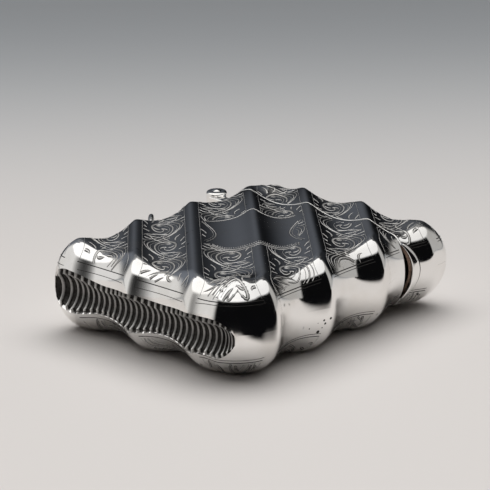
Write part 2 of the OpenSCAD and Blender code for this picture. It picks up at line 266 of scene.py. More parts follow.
def gridFaces(index, wrapU=False, wrapV=False):
    # quads over a grid of point numbers, first axis u and second axis v
    a = np.concatenate([index, index[:1]]) if wrapU else index
    a = np.concatenate([a, a[:, :1]], 1) if wrapV else a
    return np.stack([a[:-1, :-1], a[1:, :-1], a[1:, 1:], a[:-1, 1:]], -1).reshape(-1, 4)


def newFinish(name):
    material = bpy.data.materials.new(name)
    material.use_nodes = True
    tree = material.node_tree
    shader = next(n for n in tree.nodes if n.type == "BSDF_PRINCIPLED")
    return material, tree, shader, Wire.node(tree, "ShaderNodeTexCoord", out="Object")


def noise(place, scale, detail):
    values = {"Vector": place, "Scale": scale, "Detail": detail}
    return Wire.node(place.tree, "ShaderNodeTexNoise", None, values)


def relief(height, strength, depth):
    return Wire.node(height.tree, "ShaderNodeBump", None,
                     {"Strength": strength, "Distance": depth * mm, "Height": height})


def feed(shader, maps):
    for key, wire in maps.items():
        wire.tree.links.new(wire.socket, shader.inputs[key])


# wear of the metal: noise scales per metre, lengths in millimetres, and each step's two ends;
# frontPits are placed at x, z with a radius
wear = dict(haze=190.0, grain=1500.0, lineTurn=(0.4, 0.2, 0.9), lineScale=(300.0, 5200.0, 1600.0),
            wornStep=(0.42, 0.72), grainShare=0.35, lineShare=0.65, lineStep=(0.5, 0.8), lineRough=0.04,
            depth=0.02, pitScale=520.0, pitReach=0.24, rareScale=260.0, rareStep=(0.62, 0.68), pitDepth=3.0,
            pitTone=(0.05, 0.048, 0.045), frontFrom=16.0, frontTo=17.0, ragged=1.8, rimStep=(0.8, 1.15),
            frontPits=((-6.4, 3.7, 0.26), (-5.5, 4.9, 0.18), (-5.75, 5.5, 0.15), (-4.7, 5.6, 0.17),
                       (-8.1, 4.6, 0.12), (-6.7, 5.2, 0.09), (-5.9, 4.3, 0.08)))


def pitMask(place, grain, share):
    # rare round pits all over, and the ragged ones on the front by their distance in x and z
    spots = Wire.node(place.tree, "ShaderNodeTexVoronoi", None,
                      {"Vector": place, "Scale": wear["pitScale"], "Randomness": 1.0})
    rare = noise(place, wear["rareScale"], 1.0).step(*wear["rareStep"])
    pit = (1 - spots.step(0.0, wear["pitReach"])) * rare * share
    front = place.dot((0.0, -1.0, 0.0)).step(wear["frontFrom"] * mm, wear["frontTo"] * mm)
    for x, z, radius in wear["frontPits"]:
        dx = place.dot((1.0, 0.0, 0.0)) - x * mm
        dz = place.dot((0.0, 0.0, 1.0)) - z * mm
        away = (dx * dx + dz * dz).math("SQRT") / (radius * mm) + (grain - 0.5) * wear["ragged"]
        pit = pit.math("MAXIMUM", front * (1 - away.step(*wear["rimStep"])))
    return pit


def metalFinish(name, tone, wornTone, rough, wornRough, scratch, pits=0.0):
    # hazy worn patches over bare metal, with fine grain and scratch lines stretched one way
    material, tree, shader, place = newFinish(name)
    grain = noise(place, wear["grain"], 3.0)
    stretched = Wire.node(tree, "ShaderNodeMapping", None,
                          {"Vector": place, "Rotation": wear["lineTurn"], "Scale": wear["lineScale"]})
    lines = noise(stretched, 1.0, 2.0)
    worn = noise(place, wear["haze"], 4.0).step(*wear["wornStep"])
    colour = worn.mix(tone, wornTone)
    height = grain * wear["grainShare"] + lines * wear["lineShare"]
    if pits > 0:
        pit = pitMask(place, grain, pits)
        colour = pit.mix(colour, wear["pitTone"])
        height = height - pit * wear["pitDepth"]
    level = worn * wornRough + (lines.step(*wear["lineStep"]) * wear["lineRough"] + rough)
    feed(shader, {"Base Color": colour, "Roughness": level, "Normal": relief(height, scratch, wear["depth"])})
    shader.inputs["Metallic"].default_value = 1.0
    return material


silver = metalFinish("polished_silver", tone=(0.93, 0.92, 0.905), wornTone=(0.86, 0.84, 0.81),
                     rough=0.06, wornRough=0.07, scratch=0.12, pits=0.9)
insideSilver = metalFinish("dull_inside_silver", tone=(0.72, 0.66, 0.58), wornTone=(0.5, 0.42, 0.34),
                           rough=0.28, wornRough=0.14, scratch=0.3)
cutSilver = metalFinish("bright_cut_silver", tone=(0.56, 0.55, 0.535), wornTone=(0.4, 0.39, 0.375),
                        rough=0.36, wornRough=0.14, scratch=0.1)
edgeSilver = metalFinish("worn_edge_silver", tone=(0.92, 0.91, 0.89), wornTone=(0.8, 0.78, 0.75),
                         rough=0.36, wornRough=0.14, scratch=0.1)
# nearly black: painted shade of the cuts, with some tarnish, for the strokes' flanks, the rim lines, the
# seam's flanks and the lip's foot
grooveShadeAndTarnish = metalFinish("painted_groove_shade_and_tarnish", tone=(0.022, 0.021, 0.02), wornTone=(0.012, 0.011, 0.01),
                       rough=0.35, wornRough=0.1, scratch=0.1)
# the bezel's silver is toned dark brown, near black in patches
bezelSilver = metalFinish("dark_brown_bezel_silver", tone=(0.2, 0.14, 0.11), wornTone=(0.03, 0.022, 0.018),
                          rough=0.3, wornRough=0.16, scratch=0.6)
print("silver finishes mixed")

# the striker's channel and strip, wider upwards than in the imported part;
# the nose is the end at the hinge side, the point is at the front corner
striker = dict(radius=2.2, low=1.35, dip=2.1, length=39.4, pitch=1.15, groove=0.34, thick=0.75, gap=0.02,
               pointFrom=-13.2, pointRun=6.6, swell=0.33, noseSwell=0.6, noseFrom=8.0, noseRun=10.0,
               frontRamp=5.5, noseRamp=4.5, overrun=0.7, ends=1.2, flatTop=0.08, flank=0.42, perRidge=16,
               columns=22, leastReach=0.25, backEdge=0.05, sunk=0.02, leastThick=0.15,
               lowTooth=0.16, highTooth=0.14)


def runOut(y):
    # rises from 0 to 1 where the channel runs out to a point at the front corner
    return smooth01((striker["pointFrom"] - y) / striker["pointRun"])


def swell(y):
    # the channel widens upwards, most of all at the nose
    return striker["swell"] + striker["noseSwell"] * smooth01((y - striker["noseFrom"]) / striker["noseRun"])


def strikeAxis(y):
    # the channel's centre line, drawn away from the case towards both ends
    ramp = np.where(y > 0, striker["noseRamp"], striker["frontRamp"])
    e = np.maximum(0, (np.abs(y) - striker["length"] / 2 + ramp) / ramp)
    lift = np.maximum((striker["dip"] + striker["overrun"]) * e * e, striker["dip"] * runOut(y))
    return -halfL - striker["radius"] + striker["dip"] - lift


def seatRadius(y):
    return striker["radius"] + striker["gap"] + striker["thick"] * (1 - runOut(y))


def strikeX(y, z, r):
    # how far in an arc of radius r, swollen upwards, reaches; far outside the case above and below it
    wide = swell(y)
    h, r = z + striker["low"] - wide, r + wide
    reach = strikeAxis(y) - wide + np.sqrt(np.maximum(0, r * r - h * h))
    return np.where(r * r > h * h, reach, -2 * case["length"])


# the crescent cut in the lid's front edge, an arc, and the lip along it
catch = dict(height=9.2, depth=1.5, lipWidth=1.0, hornWidth=0.4, midWidth=0.95, proud=0.35, hornProud=0.5,
             midProud=0.75, fullness=0.6, reach=0.94, arcRows=73, beadColumns=13, footReach=1.2, sunk=0.3,
             footRise=0.03, beadFoot=0.15)
notchR = (catch["height"] ** 2 / 4 + catch["depth"] ** 2) / (2 * catch["depth"])
notchX = lidX + catch["depth"] - notchR

# body and lid shells: the same columns run across both
shell = dict(step=0.27, roundCols=22, endRows=24, strikeRows=10, steepest=87, seatRounds=26, notchRounds=12)


def shellColumns():
    a = np.linspace(0, np.pi / 2, shell["roundCols"] + 1)
    flat = np.linspace(-flatY, flatY, round(2 * flatY / shell["step"]) + 1)[1:-1]
    centre = np.concatenate([np.full(len(a), -flatY), flat, np.full(len(a), flatY)])
    share = np.concatenate([-np.cos(a), 0 * flat, np.sin(a)])
    return centre, share


def bodyGrid(inset, side):
    # up the striker seat, over the end rounding, along the flat to the lid line
    cy, sy = shellColumns()

    def endSkin(angle):
        q = skin(-flatX, -np.sin(angle), cy, sy, inset, side)
        return q, strikeX(q[..., 1], side * q[..., 2], seatRadius(q[..., 1]) + inset)

    def aboveSeat(angle):
        q, seat = endSkin(angle)
        return seat <= q[..., 0]

    edge = halving(aboveSeat, np.zeros(len(cy)), np.full(len(cy), np.pi / 2), shell["seatRounds"])
    edge = np.minimum(math.radians(shell["steepest"]), edge)
    k = np.arange(shell["strikeRows"])[:, None] / shell["strikeRows"]
    angle = np.concatenate([np.arccos(np.cos(edge) * k),
                            edge * (1 - np.linspace(0, 1, shell["endRows"] + 1)[:, None])])
    end, seat = endSkin(angle)
    end[..., 0] = np.maximum(end[..., 0], seat)
    last = lidX - case["seam"]
    x = np.linspace(-flatX, last, round((last + flatX) / shell["step"]) + 1)[1:, None]
    return np.concatenate([end, skin(x, 0.0, cy[None], sy[None], inset, side)])


def lidGrid(inset, side):
    # from the lid line, set back by the crescent cut on the front edge, down the end rounding
    cy, sy = shellColumns()
    start = np.full(len(cy), lidX + case["seam"])
    for _ in range(shell["notchRounds"]):
        z = skin(start, 0.0, cy, sy, inset, side)[:, 2]
        cut = notchX + np.sqrt(np.maximum(0, notchR ** 2 - z * z))
        start = np.where(cy < 0, np.maximum(lidX + case["seam"], cut), lidX + case["seam"])
    t = np.linspace(0, 1, round((flatX - lidX) / shell["step"]) + 1)[:, None]
    x = start[None] + (flatX - start[None]) * t
    a = np.linspace(0, np.pi / 2, shell["endRows"] + 1)[1:, None]
    return np.concatenate([skin(x, 0.0, cy[None], sy[None], inset, side),
                           skin(flatX, np.sin(a), cy[None], sy[None], inset, side)])


def shellPiece(name, grid, side, body, node):
    # closed sheet between the outer and the inner grid
    outer, inner = grid(0.0, side), grid(case["wall"], side)
    points = roundCorner(np.concatenate([outer.reshape(-1, 3), inner.reshape(-1, 3)]))
    points[:, 2] = halfT + side * points[:, 2]
    top = numbered(outer)
    under = top + top.size
    border = np.concatenate([top[:-1, 0], top[-1, :-1], top[:0:-1, -1], top[0, :0:-1]])
    after = np.roll(border, -1)
    rim = np.stack([after, border, border + top.size, after + top.size], -1)
    sheets = [gridFaces(top), gridFaces(under)[:, ::-1], rim]
    faces = np.concatenate(sheets)
    piece = makePiece(name, points, [faces if side > 0 else faces[:, ::-1]], silver, body, [node])
    moreFinishes(piece, np.repeat([0, 1, 0], [len(f) for f in sheets]), insideSilver)


shellPiece("bodyFront", bodyGrid, 1, "case_body", "body_front_shell")
shellPiece("bodyBack", bodyGrid, -1, "case_body", "body_back_shell")
shellPiece("lidFront", lidGrid, 1, "lid", "lid_front_shell")
shellPiece("lidBack", lidGrid, -1, "lid", "lid_back_shell")


def endFace(y, z):
    # the striker end's skin, by its two roundings and the flute depth
    ey, p = np.where(y > 0, np.clip((y - flatY) / case["edge"], 0, 1), 0), case["cornerPow"]
    rounding = 2 - np.sqrt(1 - (z / halfT) ** 2) - (1 - ey ** p) ** (1 / p)
    return -halfL + case["edge"] * rounding + case["fluteDepth"] * flute(-halfL, y, 1)


def stripReach(y, r, side):
    # reach from the channel's centre at which a channel of radius r meets the end face, by halving
    def within(reach):
        z = side * reach - striker["low"] + swell(y)
        return strikeX(y, z, r) > endFace(y, z)

    return np.maximum(striker["leastReach"], halving(within, np.zeros_like(y), r + swell(y), 20))[:, None]


strikerTones = dict(grain=2600.0, grooveStep=(0.15, 0.8), inGroove=0.9, grainStep=(0.45, 0.75), onRidge=0.25,
               bare=(0.52, 0.51, 0.5), tooth=(0.88, 0.87, 0.85), grooveShadeAndSpecks=(0.03, 0.028, 0.026), rough=0.36,
               grainRough=0.3, bump=0.5, depth=0.05)


def strikerFinish():
    # steel-grey ridges with a painted highlight at the teeth, painted shade in the grooves and random dark
    # specks on the ridges
    material, tree, shader, place = newFinish("striker_painted_shade_and_highlight")
    groove = Wire.node(tree, "ShaderNodeAttribute", {"attribute_name": "groove"}, out="Fac")
    tooth = Wire.node(tree, "ShaderNodeAttribute", {"attribute_name": "tooth"}, out="Fac")
    grain = noise(place, strikerTones["grain"], 5.0)
    # painted shade in the grooves, then random dark specks on the ridges
    grooveShadeAndSpecks = groove.step(*strikerTones["grooveStep"]) * strikerTones["inGroove"]
    grooveShadeAndSpecks = grooveShadeAndSpecks + grain.step(*strikerTones["grainStep"]) * strikerTones["onRidge"]
    colour = grooveShadeAndSpecks.step(0.0, 1.0).mix(tooth.mix(strikerTones["bare"], strikerTones["tooth"]), strikerTones["grooveShadeAndSpecks"])
    level = grain * strikerTones["grainRough"] + strikerTones["rough"]
    bumps = relief(grain, strikerTones["bump"], strikerTones["depth"])
    feed(shader, {"Base Color": colour, "Roughness": level, "Normal": bumps})
    shader.inputs["Metallic"].default_value = 1.0
    return material


def makeStriker():
    # concave strip: an arc about the channel's centre, its radius swelling into a groove at each pitch
    n, pitch = striker["columns"], striker["pitch"]
    count = int((striker["length"] - striker["ends"]) / pitch)
    y = np.linspace(-count, count, count * striker["perRidge"] + 1) * pitch / 2
    beat = np.abs((y / pitch + count / 2) % 1 - 0.5) * 2
    groove = np.clip((1 - beat - striker["flatTop"]) / striker["flank"], 0, 1)[:, None]
    front, back, wide = striker["radius"], seatRadius(y) - 0.5 * striker["gap"], swell(y)[:, None]
    lowF, highF = stripReach(y, front, -1), stripReach(y, front, 1)
    lowB = np.maximum(lowF + striker["backEdge"], stripReach(y, back, -1))
    highB = np.maximum(highF + striker["backEdge"], stripReach(y, back, 1))
    rFront = front + wide + striker["groove"] * groove * (1 - runOut(y))[:, None]
    rBack = back[:, None] + wide
    t = np.linspace(0, 1, n)[None]
    angle = np.concatenate([-np.arcsin(lowF / rFront) * (1 - t) + np.arcsin(highF / rFront) * t,
                            -np.arcsin(lowB / rBack) * t + np.arcsin(highB / rBack) * (1 - t)], 1)
    radius = np.concatenate([np.repeat(rFront, n, 1), np.repeat(rBack, n, 1)], 1)
    x = strikeAxis(y)[:, None] - wide + radius * np.cos(angle)
    z = radius * np.sin(angle) - striker["low"] + wide
    # past the channel's ends the strip dives under the skin
    x[:, :n] = np.maximum(x[:, :n], endFace(y[:, None], z[:, :n]) + striker["sunk"])
    x[:, n:] = np.maximum(x[:, n:], x[:, n - 1::-1] + striker["leastThick"])
    points = np.stack([x, np.repeat(y[:, None], 2 * n, 1), halfT + z], -1)
    index = numbered(points)
    k = np.arange(n - 1)
    cap = np.stack([k, 2 * n - 1 - k, 2 * n - 2 - k, k + 1], -1)
    piece = makePiece("strikerStrip", roundCorner(points.reshape(-1, 3)),
                      [gridFaces(index, wrapV=True)[:, ::-1], index[0][cap], index[-1][cap[:, ::-1]]],
                      strikerFinish(), "case_body", ["striker_strip"], sharp=30)
    # painted highlight along both edges of the strip's face, where the teeth are
    tooth = 1 - smooth01(t / striker["lowTooth"]) + smooth01((t - 1) / striker["highTooth"] + 1)
    layers = dict(groove=np.repeat(groove, 2 * n, 1),
                  tooth=np.repeat(np.concatenate([tooth, 0 * t], 1), len(y), 0))
    for name, values in layers.items():
        layer = piece.data.attributes.new(name, "FLOAT", "POINT")
        layer.data.foreach_set("value", values.astype(np.float32).ravel())


makeStriker()

bezel = dict(thick=0.5, gap=0.14, inward=3.2, outward=1.8, bead=0.12, beadCut=0.3, roundPoints=33,
             flatPoints=41)


def makeBezel():
    # a racetrack outline carried along X: outer wall, rounded lip, inner wall
    a = np.linspace(-np.pi / 2, np.pi / 2, bezel["roundPoints"])[None]
    run = np.linspace(flatY, -flatY, bezel["flatPoints"])[None, 1:-1]
    x0, x1 = lidX - bezel["inward"], lidX + bezel["outward"]
    t, b, c = bezel["thick"], bezel["bead"], bezel["beadCut"] * bezel["bead"]
    section = [(x0, b), (x0 + b, 0), (x1 - b, 0), (x1 - c, c), (x1, b), (x1, t - b), (x1 - c, t - c),
               (x1 - b, t), (x0 + b, t), (x0, t - b)]
    x, inset = np.array(section).T[..., None]
    ew = case["edge"] - case["wall"] - case["fluteDepth"] - 2 * bezel["gap"] - inset
    eh = (halfT - case["wall"]) * heightLeft(x1, flatY) - case["fluteDepth"] - bezel["gap"] - inset
    level = eh + 0 * run
    y = np.concatenate([flatY + ew * np.cos(a), run + 0 * ew, -flatY - ew * np.cos(a), 0 * ew - run], 1)
    z = np.concatenate([eh * np.sin(a), level, -eh * np.sin(a), -level], 1)
    points = np.stack([x + 0 * y, y, halfT + z], -1)
    makePiece("mouthBezel", points.reshape(-1, 3), [gridFaces(numbered(points), True, True)[:, ::-1]],
              bezelSilver, "case_body", ["mouth_bezel"], sharp=50)


makeBezel()


def frontFace(x, z):
    # the front edge's skin, by its rounding and the flute depth
    h = halfT * heightLeft(x, halfW)
    return -halfW + case["edge"] * (1 - np.sqrt(1 - (z / h) ** 2)) + case["fluteDepth"] * flute(x, -halfW, 1)


def makeLip():
    # a low rounded moulding carried along the arc of the crescent cut, thinning towards its horns
    reach = math.asin(catch["reach"] * catch["height"] / 2 / notchR)
    a = np.linspace(-reach, reach, catch["arcRows"])[:, None]
    full = np.cos(np.pi / 2 * a / reach) ** catch["fullness"]
    width = catch["lipWidth"] * (catch["hornWidth"] + catch["midWidth"] * full)
    proud = catch["proud"] * (catch["hornProud"] + catch["midProud"] * full)
    g = np.linspace(0, np.pi, catch["beadColumns"])
    across = np.concatenate([[0], 0.5 - 0.5 * np.cos(g), [catch["footReach"]] * 2])[None]
    bead = -proud * (catch["beadFoot"] + (1 - catch["beadFoot"]) * np.sin(g) ** catch["fullness"])
    deep = np.full_like(a, catch["sunk"])
    depth = np.concatenate([deep, bead, np.full_like(a, -catch["footRise"]), deep], 1)
    r = notchR + across * width
    x, z = notchX + r * np.cos(a), r * np.sin(a)
    points = np.stack([x, frontFace(x, z) + depth, halfT + z], -1)
    index = numbered(points)
    faces = gridFaces(index, wrapV=True)
    piece = makePiece("thumbLip", points.reshape(-1, 3), [faces, index[:1, ::-1], index[-1:]],
                      silver, "lid", ["lid_thumb_lip"], sharp=60)
    # painted shade, with some tarnish, lies in the corner where the moulding meets the lid
    foot = np.arange(len(faces)) % index.shape[1] >= catch["beadColumns"]
    moreFinishes(piece, np.concatenate([foot, [False, False]]), grooveShadeAndTarnish)


makeLip()

# hinge; head is the pin head's outline, radius and height over the barrel's end
hinge = dict(out=1.3, radius=1.75, length=11.0, lidPart=3.6, gap=0.08, pin=0.6, run=0.05, press=0.01,
             edge=0.12, dome=0.5, edgePoints=9, leaf=1.9, leafGap=0.12, leafSunk=0.4, leafOverlap=0.3,
             leafRound=0.25, leafPoints=5, leafInner=0.1, leafOuter=0.6, pinSteps=48,
             head=((1e-4, 0.3), (0.25, 0.29), (0.45, 0.24), (0.65, 0.13), (0.8, 0.02), (0.6, 0.02)))
hingeY = halfW + hinge["out"]


def arc(r, h, radius, first, last, count):
    # points of a circle about (r, h) between two angles in degrees
    a = np.radians(np.linspace(first, last, count))
    return np.stack([r + radius * np.cos(a), h + radius * np.sin(a)], -1)


def roundedRect(low, high, e, count):
    # rectangle between two opposite corners, with roundings of radius e
    (x1, z1), (x2, z2) = np.array(low) + e, np.array(high) - e
    centres = ((x2, z2), (x1, z2), (x1, z1), (x2, z1))
    return np.concatenate([arc(x, z, e, 90 * k, 90 * k + 90, count) for k, (x, z) in enumerate(centres)])


def turned(profile, steps=72):
    # a closed outline of (radius, height) turned about an upright axis
    a = np.linspace(0, 2 * np.pi, steps, endpoint=False)[:, None]
    r, h = np.array(profile).T[:, None]
    points = np.stack([r * np.cos(a), r * np.sin(a), h + 0 * a], -1)
    return points.reshape(-1, 3), gridFaces(numbered(points), True, True)


def roundedBox(low, high, e):
    # box whose section across Y has rounded corners
    section = roundedRect((low[0], low[2]), (high[0], high[2]), e, hinge["leafPoints"])[None]
    y = np.array([[low[1]], [high[1]]])
    points = np.stack([section[..., 0] + 0 * y, y + 0 * section[..., 0], section[..., 1] + 0 * y], -1)
    index = numbered(points)
    return points.reshape(-1, 3), [gridFaces(index, wrapV=True), index[:1], index[1:, ::-1]]


def makeKnuckle(name, z1, z2, e1, e2, bore, leafSide, leafZ, body, node):
    # barrel turned from its outline, with a leaf that reaches the case beside the lid line
    r, n = hinge["radius"], hinge["edgePoints"]
    outline = np.concatenate([[(bore, z1)], arc(r - e1, z1 + e1, e1, -90, 0, n),
                              arc(r - e2, z2 - e2, e2, 0, 90, n), [(bore, z2)]])
    barrel, faces = turned(outline)
    near = case["seam"] + hinge["leafGap"]
    middle = lidX + leafSide * (near + hinge["leaf"] / 2)
    seat = halfW - case["fluteDepth"] * float(flute(middle, halfW, 1))
    box, boxFaces = roundedBox((middle - hinge["leaf"] / 2, seat - hinge["leafSunk"], halfT + leafZ[0]),
                               (middle + hinge["leaf"] / 2, hingeY - hinge["leafOverlap"], halfT + leafZ[1]),
                               hinge["leafRound"])
    makePiece(name, np.concatenate([barrel + [lidX, hingeY, halfT], box]),
              [faces, *[f + len(barrel) for f in boxFaces]], silver, body, [node])


def makeHinge():
    half, outer = hinge["lidPart"] / 2, hinge["length"] / 2
    inner, edge, dome = half + hinge["gap"], hinge["edge"], hinge["dome"]
    tight, free = hinge["pin"] + hinge["press"], hinge["pin"] + hinge["run"]
    leafLow, leafHigh = inner + hinge["leafInner"], outer - hinge["leafOuter"]
    leafMid = half - hinge["leafInner"]
    makeKnuckle("hingeUpper", inner, outer, edge, dome, tight, -1, (leafLow, leafHigh), "case_body",
                "body_knuckle_front")
    makeKnuckle("hingeLower", -outer, -inner, dome, edge, tight, -1, (-leafHigh, -leafLow), "case_body",
                "body_knuckle_back")
    makeKnuckle("hingeMiddle", -half, half, edge, edge, free, 1, (-leafMid, leafMid), "lid", "lid_knuckle")
    head = np.array(hinge["head"]) + [0, outer]
    points, faces = turned(np.concatenate([head * [1, -1], head[::-1]]), hinge["pinSteps"])
    makePiece("hingePin", points + [lidX, hingeY, halfT], [faces], silver, "case_body", ["hinge_pin"],
              sharp=45)


makeHinge()

# eye and ring; foot is the outline of the eye's foot, radius and height
hanger = dict(x=-2.0, out=0.5, eye=1.7, eyeHeight=1.3, eyeRound=0.22, eyePoints=7, hole=0.8, footSunk=0.4,
              foot=((1e-4, 0), (1.5, 0), (1.5, 0.5), (1.43, 0.66), (1.25, 0.75), (1e-4, 0.75)),
              ring=3.7, wire=0.5, swing=47.0, ringRows=120, wireRows=28)


def makeLug():
    # an eye turned about an upright axis, on a round foot turned about the axis across the edge
    x, h = hanger["x"], hanger["eyeHeight"] / 2
    outline = roundedRect((hanger["hole"], -h), (hanger["eye"], h), hanger["eyeRound"], hanger["eyePoints"])
    eye, eyeFaces = turned(outline)
    seat = halfW - case["fluteDepth"] * float(flute(x, halfW, 1)) - hanger["footSunk"]
    foot, footFaces = turned(hanger["foot"])
    foot = np.stack([foot[:, 0] + x, foot[:, 2] + seat, halfT - foot[:, 1]], -1)
    makePiece("ringLug", np.concatenate([eye + [x, halfW + hanger["out"], halfT], foot]),
              [eyeFaces, footFaces + len(eye)], silver, "case_body", ["suspension_lug"])


def makeRing():
    # torus in an upright plane through the eye
    u = np.linspace(0, 2 * np.pi, hanger["ringRows"], endpoint=False)[:, None]
    v = np.linspace(0, 2 * np.pi, hanger["wireRows"], endpoint=False)[None]
    r = hanger["ring"] + hanger["wire"] * np.cos(v)
    along, up, off = hanger["ring"] + r * np.cos(u), r * np.sin(u), hanger["wire"] * np.sin(v)
    s, c = math.sin(math.radians(hanger["swing"])), math.cos(math.radians(hanger["swing"]))
    points = np.stack([hanger["x"] + along * s + off * c,
                       halfW + hanger["out"] + along * c - off * s, halfT + up], -1)
    makePiece("swingRing", points.reshape(-1, 3), [gridFaces(numbered(points), True, True)[:, ::-1]], silver,
              "ring", ["suspension_ring"])


makeLug()
makeRing()

# engraving: strokes drawn in a field's own coordinates, s along the ribs and v across, then laid on the skin
engraving = dict(unit=9.0, wave=2.55, half=4.38, border=3.3, line=0.16, rise=0.05, steepest=0.35, sink=0.015,
                 deep=0.08, flank=1.6, ridge=0.38, arc=9.2, seamGap=0.5, hingeGap=2.8, hingeFrom=17.0,
                 fields=4, shift=0.4, reach=36.0, dash=1.2, dashPoints=6, borderWidth=0.5, slack=0.02, seed=7)

# one wave of the scroll, lengths in millimetres, angles in degrees and widths in line widths;
# fanLeaf has the first leaf's angle, length and bend, and what each next one adds
scroll = dict(points=26, stems=((0, 1.5), (0.95, 0.9), (-0.9, 0.7)), drop=-0.5, long=1.5, high=0.92,
              radius=2.1, eye=0.3, fade=0.7, turns=1.25, width=1.9, innerTurns=0.55, innerFade=0.4,
              innerWidth=0.9, leaves=(200, 232, 262, 292, 322, 352, 24), leafLong=3.3, leafHigh=2.15,
              leafTurn=60, leafLength=2.5, leafBend=-75, leafWidth=2.1, tip=0.12, early=0.75, wild=0.18,
              draws=40, fan=4, fanFrom=2.2, fanPitch=1.35, fanRise=0.8,
              fanLeaf=((142, -20), (1.2, 0.55), (-95, 38)), fanWidth=1.7, buds=(40, 220), budOut=0.15,
              budTurn=30, budLength=1.5, budBend=120, budWidth=2.2, hatches=3, hatchFrom=1.5,
              hatchPitch=0.42, hatchAt=-1.15, hatchAngle=100, hatchLength=0.85, hatchBend=-20,
              hatchWidth=0.7, hatchPoints=6)

# double lines round the face below the scrolls
rim = dict(out=5.2, gap=0.45, endGap=1.1, wideFrom=13.0, wideRun=6.0, piece=0.6, widths=(0.125, 0.09),
           half=3.55, clear=0.15)

# the plain reserve over the middle rib: its outline, side scrolls and beads;
# sideLines has each line's distance from the scroll and its width
reserve = dict(low=-7.5, lowPoint=0.7, lowCurl=2.3, lowHalf=6.3, high=8.0, highPoint=1.1, highFall=4.4,
               highHalf=7.9, pointWidth=1.2, span=6.4, topSpan=1.1, side=7.3, bulge=1.6, sideFrom=-4.6,
               sideRun=9.4, sideLines=((0.0, 0.22), (0.4, 0.1)), points=40, width=0.13, underGap=0.7,
               underWidth=0.12, clear=0.6, topClear=0.55, farSide=7.0, beads=34, beadSpan=5.6, beadIn=0.75,
               beadHalf=0.09, beadWidth=0.16, beadPoints=5)

# the lid's edge: a line just past the hairline, with its own shares of flank and ridge
edgeLine = dict(at=0.33, width=0.56, flank=1.0, ridge=0.6, lowEnd=0.8, highEnd=3.4, points=220)
rootTwo = math.sqrt(2)


def unrolled(t, flat):
    # rounding's centre and share for a length measured over the face and on down the rounding
    over = np.clip((np.abs(t) - flat) / engraving["arc"], 0, 1)
    return np.clip(t, -flat, flat), np.sign(t) * np.sin(np.pi / 2 * over)


def planPoint(x, y):
    (cx, sx), (cy, sy) = unrolled(x, flatX), unrolled(y, flatY)
    return cx + case["edge"] * sx, cy + case["edge"] * sy


def facePoint(x, y, side):
    q = roundCorner(skin(*unrolled(x, flatX), *unrolled(y, flatY), 0.0, side))
    q[..., 2] = halfT + side * q[..., 2]
    return q


def slantPoint(s, q, side):
    return (s + q) / rootTwo, (s - q) * side / rootTwo


def fieldPoint(s, u, side):
    # the point at length s along the slant whose rib count is u, by halving across the slant
    def isBelow(q):
        return phaseOf(*planPoint(*slantPoint(s, q, side)), side) < u

    limit = np.full(s.shape, case["length"])
    return slantPoint(s, halving(isBelow, -limit, limit, 32), side)


def offMiddle(u):
    # distance from the middle of a field, in millimetres, for a rib count
    return np.abs(u - np.floor(u) - 0.5) * 2 * engraving["half"]


def leaf(a, v, angle, length, bend, width, n=10):
    # a comma: its heading turns evenly along it, its width swells early and runs out to a point
    t = np.linspace(0, 1, n)
    heading = math.radians(angle) + math.radians(bend) * (np.arange(n - 1) + 0.5) / (n - 1)
    step = length / (n - 1)
    return (a + step * np.concatenate([[0], np.cumsum(np.cos(heading))]),
            v + step * np.concatenate([[0], np.cumsum(np.sin(heading))]),
            width * engraving["line"] * (scroll["tip"] + np.sin(np.pi * t ** scroll["early"])))


def spiral(turns, r, width):
    # winds from the left about the scroll's middle, an oval by its two stretches
    theta = np.pi - 2 * np.pi * turns * np.linspace(0, 1, scroll["points"])
    return (scroll["long"] * r * np.cos(theta), scroll["drop"] + scroll["high"] * r * np.sin(theta),
            width * engraving["line"])


def around(angle, long, high):
    # a point on an oval about the scroll's middle
    a = math.radians(angle)
    return long * math.cos(a), scroll["drop"] + high * math.sin(a)


def scrollUnit(chance):
    # stem lines, a spiral with an inner line, leaves round it, a fan, two buds and hatching
    unit, wave = engraving["unit"], engraving["wave"]
    t = np.linspace(0, 1, scroll["points"])
    a = (t - 0.5) * unit
    stem = wave * np.cos(np.pi * a / unit)
    strokes = [(a, stem + off * t, np.full(len(t), w * engraving["line"])) for off, w in scroll["stems"]]
    strokes.append(spiral(scroll["turns"], scroll["radius"] * (1 - t) ** scroll["fade"] + scroll["eye"],
                          scroll["width"] * (0.45 + np.sin(np.pi * t))))
    inner = scroll["radius"] * (1 - scroll["innerFade"] * t) ** scroll["fade"] - scroll["eye"]
    strokes.append(spiral(scroll["innerTurns"], inner, scroll["innerWidth"] * (1.1 - t)))
    wild = chance.uniform(1 - scroll["wild"], 1 + scroll["wild"], scroll["draws"])
    for k, g in enumerate(scroll["leaves"]):
        root = around(g, scroll["leafLong"], scroll["leafHigh"])
        strokes.append(leaf(*root, g + scroll["leafTurn"], scroll["leafLength"] * wild[k],
                            scroll["leafBend"] * wild[k + 8], scroll["leafWidth"]))
    for k in range(scroll["fan"]):
        x = scroll["fanFrom"] + scroll["fanPitch"] * k
        y = wave * math.cos(math.pi * x / unit) + scroll["fanRise"]
        angle, length, bend = (first + more * k for first, more in scroll["fanLeaf"])
        strokes.append(leaf(x, y, angle, length * wild[k + 16], bend, scroll["fanWidth"]))
    for g in scroll["buds"]:
        root = around(g, scroll["budOut"], scroll["budOut"])
        strokes.append(leaf(*root, g + scroll["budTurn"], scroll["budLength"], scroll["budBend"],
                            scroll["budWidth"]))
    for k in range(scroll["hatches"]):
        x = scroll["hatchFrom"] + scroll["hatchPitch"] * k
        strokes.append(leaf(x, scroll["hatchAt"], scroll["hatchAngle"], scroll["hatchLength"],
                            scroll["hatchBend"], scroll["hatchWidth"], scroll["hatchPoints"]))
    return strokes


